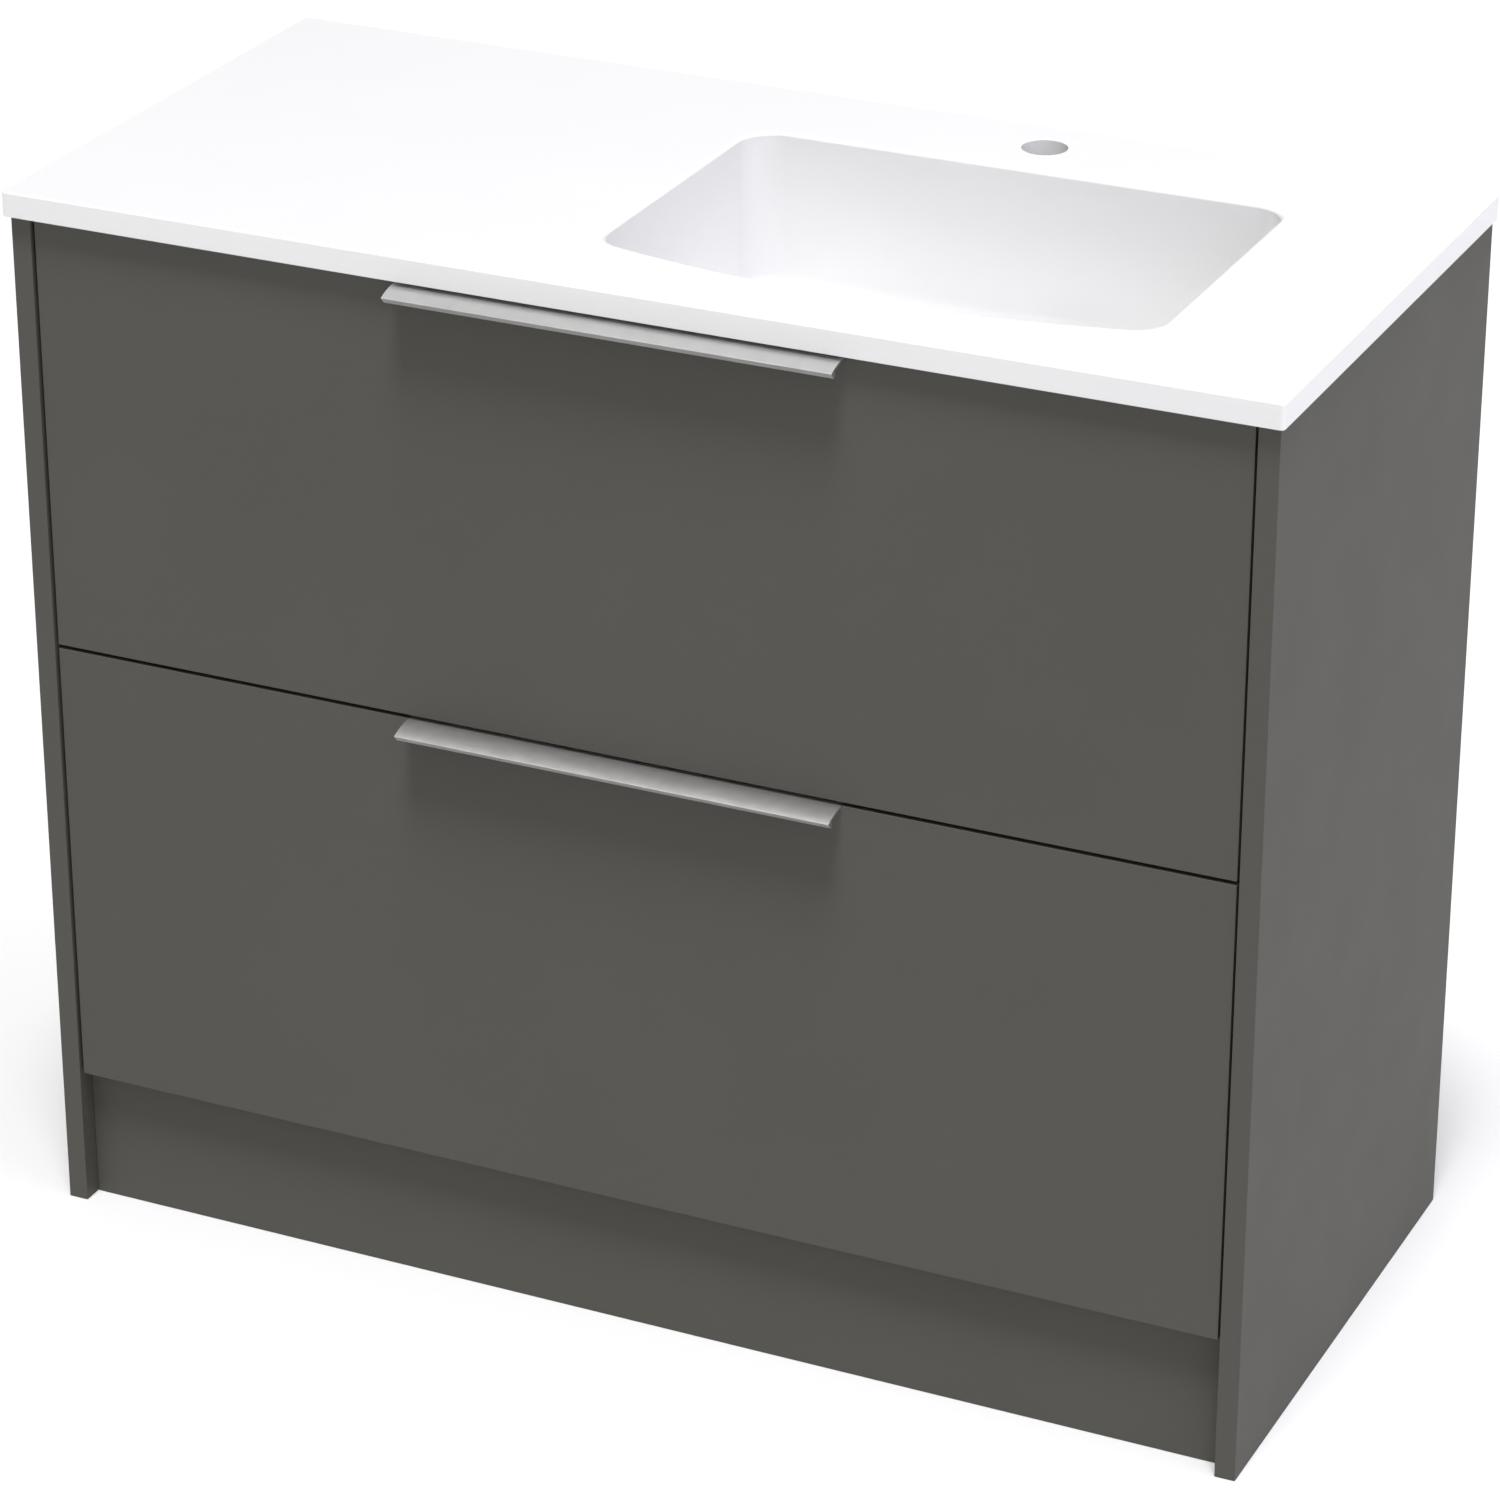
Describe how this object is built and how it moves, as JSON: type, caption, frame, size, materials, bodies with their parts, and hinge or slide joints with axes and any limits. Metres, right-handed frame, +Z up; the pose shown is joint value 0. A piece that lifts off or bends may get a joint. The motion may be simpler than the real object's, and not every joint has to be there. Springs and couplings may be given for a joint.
{
  "type": "bathroom vanity cabinet",
  "caption": "Floor-standing vanity cabinet with full-width inset drawers on telescopic runners, lip handles and a white top with an offset basin and tap hole.",
  "frame": {"origin": "on the floor, under the middle of the whole object's bounding box, handles included", "axes": "+Z up, +X to the right as seen from the front, the drawers open towards -Y"},
  "size_m": [1, 0.475, 0.85],
  "materials": {
    "grey_board": "satin lacquered board, warm dark grey",
    "white_top": "gloss white",
    "drawer_board": "pale grey melamine",
    "brushed_handle": "brushed along its length",
    "zinc_steel": "zinc plated",
    "chrome_waste": "polished",
    "black_rubber": "matte"
  },
  "bodies": {
    "cabinet": {"left_end_panel": "grey_board", "right_end_panel": "grey_board", "bottom_panel": "grey_board", "kickboard": "grey_board", "rear_plinth_rail": "grey_board", "front_top_rail": "grey_board", "wall_rail": "grey_board", "back_lower_rail": "grey_board", "top_bracket_left_front": "zinc_steel", "top_bracket_left_back": "zinc_steel", "top_bracket_right_front": "zinc_steel", "top_bracket_right_back": "zinc_steel", "vanity_top": "white_top", "waste_body": "chrome_waste", "waste_seal": "black_rubber", "waste_backnut": "chrome_waste", "upper_left_runner_cabinet_member": "zinc_steel", "upper_right_runner_cabinet_member": "zinc_steel", "lower_left_runner_cabinet_member": "zinc_steel", "lower_right_runner_cabinet_member": "zinc_steel"},
    "upper_drawer": {"upper_drawer_front": "grey_board", "upper_drawer_handle": "brushed_handle", "upper_drawer_left_side": "drawer_board", "upper_drawer_right_side": "drawer_board", "upper_drawer_bottom": "drawer_board", "upper_drawer_back_left": "drawer_board", "upper_drawer_back_right": "drawer_board", "upper_drawer_recess_front": "drawer_board", "upper_drawer_recess_left": "drawer_board", "upper_drawer_recess_right": "drawer_board", "upper_handle_screw_left": "zinc_steel", "upper_handle_screw_middle": "zinc_steel", "upper_handle_screw_right": "zinc_steel", "upper_drawer_bumper_left": "black_rubber", "upper_drawer_bumper_right": "black_rubber", "upper_left_runner_drawer_member": "zinc_steel", "upper_right_runner_drawer_member": "zinc_steel"},
    "lower_drawer": {"lower_drawer_front": "grey_board", "lower_drawer_handle": "brushed_handle", "lower_drawer_left_side": "drawer_board", "lower_drawer_right_side": "drawer_board", "lower_drawer_bottom": "drawer_board", "lower_drawer_back": "drawer_board", "lower_handle_screw_left": "zinc_steel", "lower_handle_screw_middle": "zinc_steel", "lower_handle_screw_right": "zinc_steel", "lower_drawer_bumper_left": "black_rubber", "lower_drawer_bumper_right": "black_rubber", "lower_left_runner_drawer_member": "zinc_steel", "lower_right_runner_drawer_member": "zinc_steel"},
    "upper_left_runner_middle": {"upper_left_runner_middle_member": "zinc_steel"},
    "upper_right_runner_middle": {"upper_right_runner_middle_member": "zinc_steel"},
    "lower_left_runner_middle": {"lower_left_runner_middle_member": "zinc_steel"},
    "lower_right_runner_middle": {"lower_right_runner_middle_member": "zinc_steel"},
    "waste_plug": {"waste_plug": "chrome_waste"}
  },
  "joints": [
    {"name": "upper_drawer_slide", "type": "slide", "parent": "cabinet", "child": "upper_drawer", "axis": [0, -1, 0], "range_m": [0, 0.38]},
    {"name": "lower_drawer_slide", "type": "slide", "parent": "cabinet", "child": "lower_drawer", "axis": [0, -1, 0], "range_m": [0, 0.38]},
    {"name": "upper_left_runner_slide", "type": "slide", "parent": "cabinet", "child": "upper_left_runner_middle", "axis": [0, -1, 0], "range_m": [0, 0.19]},
    {"name": "upper_right_runner_slide", "type": "slide", "parent": "cabinet", "child": "upper_right_runner_middle", "axis": [0, -1, 0], "range_m": [0, 0.19]},
    {"name": "lower_left_runner_slide", "type": "slide", "parent": "cabinet", "child": "lower_left_runner_middle", "axis": [0, -1, 0], "range_m": [0, 0.19]},
    {"name": "lower_right_runner_slide", "type": "slide", "parent": "cabinet", "child": "lower_right_runner_middle", "axis": [0, -1, 0], "range_m": [0, 0.19]},
    {"name": "waste_plug_lift", "type": "slide", "parent": "cabinet", "child": "waste_plug", "axis": [0, 0, 1], "range_m": [0, 0.008]}
  ],
  "couplings": [
    {"joint": "upper_left_runner_slide", "follows": "upper_drawer_slide", "ratio": 0.5},
    {"joint": "upper_right_runner_slide", "follows": "upper_drawer_slide", "ratio": 0.5},
    {"joint": "lower_left_runner_slide", "follows": "lower_drawer_slide", "ratio": 0.5},
    {"joint": "lower_right_runner_slide", "follows": "lower_drawer_slide", "ratio": 0.5}
  ]
}
